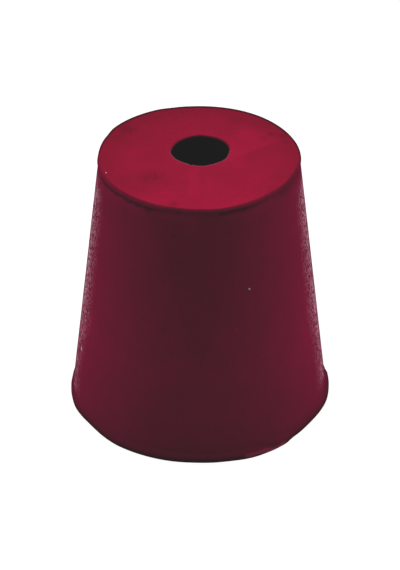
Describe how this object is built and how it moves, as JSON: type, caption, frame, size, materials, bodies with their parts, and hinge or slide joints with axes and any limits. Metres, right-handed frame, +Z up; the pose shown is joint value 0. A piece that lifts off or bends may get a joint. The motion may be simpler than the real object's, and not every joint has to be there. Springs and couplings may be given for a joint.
{
  "type": "rubber stopper",
  "caption": "Tapered rubber stopper that plugs the neck of a flask or test tube, with a hole through it that grips a glass tube or thermometer.",
  "frame": {"origin": "centre of the wide end, which the stopper stands on", "axes": "+Z up the stopper's own axis, from the wide end to the narrow end; +Y towards the side that the hole lies nearer to"},
  "size_m": [0.024, 0.024, 0.025],
  "materials": {
    "rubber": "dull dark red rubber with a fine moulded grain"
  },
  "bodies": {
    "root": {"stopper": "rubber"}
  },
  "joints": []
}
